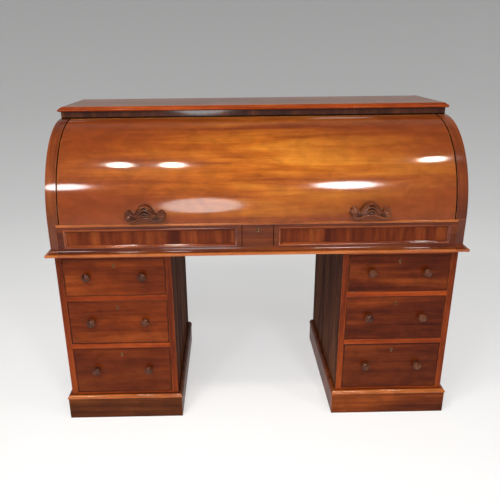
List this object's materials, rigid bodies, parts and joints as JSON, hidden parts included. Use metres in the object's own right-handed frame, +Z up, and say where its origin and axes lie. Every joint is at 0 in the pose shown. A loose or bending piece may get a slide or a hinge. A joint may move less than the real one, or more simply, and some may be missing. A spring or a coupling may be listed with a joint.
{
  "type": "cylinder desk",
  "caption": "Pedestal writing desk closed by a curved cylinder fall, with knobbed drawers, a pull-out writing slide and a pigeonhole case behind the fall.",
  "frame": {"origin": "on the floor, below the middle of the desk's overall box", "axes": "+X along the front to the viewer's right, -Y out of the front, +Z up"},
  "size_m": [1.46, 0.6868, 1.139],
  "materials": {
    "polished_mahogany": "French polished, high gloss",
    "flamed_mahogany": "French polished veneer, high gloss",
    "dark_mahogany": "carved and turned, polished",
    "oak": "waxed, satin",
    "green_leather": "satin, gilt tooled border",
    "brass": "aged, satin",
    "iron": "blackened, satin"
  },
  "bodies": {
    "carcase": {"left_pedestal_outer_side": "polished_mahogany", "left_pedestal_bottom": "polished_mahogany", "left_pedestal_lower_divider": "polished_mahogany", "left_pedestal_upper_divider": "polished_mahogany", "left_pedestal_top": "polished_mahogany", "left_pedestal_plinth": "polished_mahogany", "left_pedestal_inner_side": "polished_mahogany", "left_pedestal_back": "oak", "right_pedestal_outer_side": "polished_mahogany", "right_pedestal_bottom": "polished_mahogany", "right_pedestal_lower_divider": "polished_mahogany", "right_pedestal_upper_divider": "polished_mahogany", "right_pedestal_top": "polished_mahogany", "right_pedestal_plinth": "polished_mahogany", "right_pedestal_inner_side": "polished_mahogany", "right_pedestal_back": "oak", "end_panel_left": "polished_mahogany", "end_panel_right": "polished_mahogany", "bed_board": "polished_mahogany", "upper_back_panel": "oak", "top_frieze": "dark_mahogany", "top_board": "polished_mahogany", "slide_runner_left": "oak", "slide_runner_right": "oak", "stationery_case": "polished_mahogany"},
    "left_bottom_drawer": {"left_bottom_drawer_front": "polished_mahogany", "left_bottom_drawer_box": "oak", "left_bottom_drawer_knob_left": "dark_mahogany", "left_bottom_drawer_knob_right": "dark_mahogany"},
    "left_middle_drawer": {"left_middle_drawer_front": "polished_mahogany", "left_middle_drawer_box": "oak", "left_middle_drawer_knob_left": "dark_mahogany", "left_middle_drawer_knob_right": "dark_mahogany"},
    "left_top_drawer": {"left_top_drawer_front": "polished_mahogany", "left_top_drawer_box": "oak", "left_top_drawer_knob_left": "dark_mahogany", "left_top_drawer_knob_right": "dark_mahogany"},
    "right_bottom_drawer": {"right_bottom_drawer_front": "polished_mahogany", "right_bottom_drawer_box": "oak", "right_bottom_drawer_knob_left": "dark_mahogany", "right_bottom_drawer_knob_right": "dark_mahogany"},
    "right_middle_drawer": {"right_middle_drawer_front": "polished_mahogany", "right_middle_drawer_box": "oak", "right_middle_drawer_knob_left": "dark_mahogany", "right_middle_drawer_knob_right": "dark_mahogany"},
    "right_top_drawer": {"right_top_drawer_front": "polished_mahogany", "right_top_drawer_box": "oak", "right_top_drawer_knob_left": "dark_mahogany", "right_top_drawer_knob_right": "dark_mahogany"},
    "fall": {"cylinder_fall": "flamed_mahogany", "cylinder_handle_left": "dark_mahogany", "cylinder_handle_right": "dark_mahogany", "pivot_arm_left": "iron", "pivot_arm_right": "iron"},
    "slide": {"writing_slide": "polished_mahogany", "writing_leather": "green_leather", "slide_front": "polished_mahogany", "slide_lock": "brass"},
    "stationery_drawer_left": {"stationery_drawer_left": "polished_mahogany"},
    "stationery_drawer_right": {"stationery_drawer_right": "polished_mahogany"}
  },
  "joints": [
    {"name": "fall_hinge", "type": "hinge", "parent": "carcase", "child": "fall", "pos_m": [0, 0.0074, 0.7785], "axis": [-1, 0, 0], "range_deg": [0, 70]},
    {"name": "writing_slide", "type": "slide", "parent": "carcase", "child": "slide", "axis": [0, -1, 0], "range_m": [0, 0.28]},
    {"name": "left_bottom_drawer_slide", "type": "slide", "parent": "carcase", "child": "left_bottom_drawer", "axis": [0, -1, 0], "range_m": [0, 0.42]},
    {"name": "left_middle_drawer_slide", "type": "slide", "parent": "carcase", "child": "left_middle_drawer", "axis": [0, -1, 0], "range_m": [0, 0.42]},
    {"name": "left_top_drawer_slide", "type": "slide", "parent": "carcase", "child": "left_top_drawer", "axis": [0, -1, 0], "range_m": [0, 0.42]},
    {"name": "right_bottom_drawer_slide", "type": "slide", "parent": "carcase", "child": "right_bottom_drawer", "axis": [0, -1, 0], "range_m": [0, 0.42]},
    {"name": "right_middle_drawer_slide", "type": "slide", "parent": "carcase", "child": "right_middle_drawer", "axis": [0, -1, 0], "range_m": [0, 0.42]},
    {"name": "right_top_drawer_slide", "type": "slide", "parent": "carcase", "child": "right_top_drawer", "axis": [0, -1, 0], "range_m": [0, 0.42]},
    {"name": "stationery_drawer_left_slide", "type": "slide", "parent": "carcase", "child": "stationery_drawer_left", "axis": [0, -1, 0], "range_m": [0, 0.13]},
    {"name": "stationery_drawer_right_slide", "type": "slide", "parent": "carcase", "child": "stationery_drawer_right", "axis": [0, -1, 0], "range_m": [0, 0.13]}
  ]
}
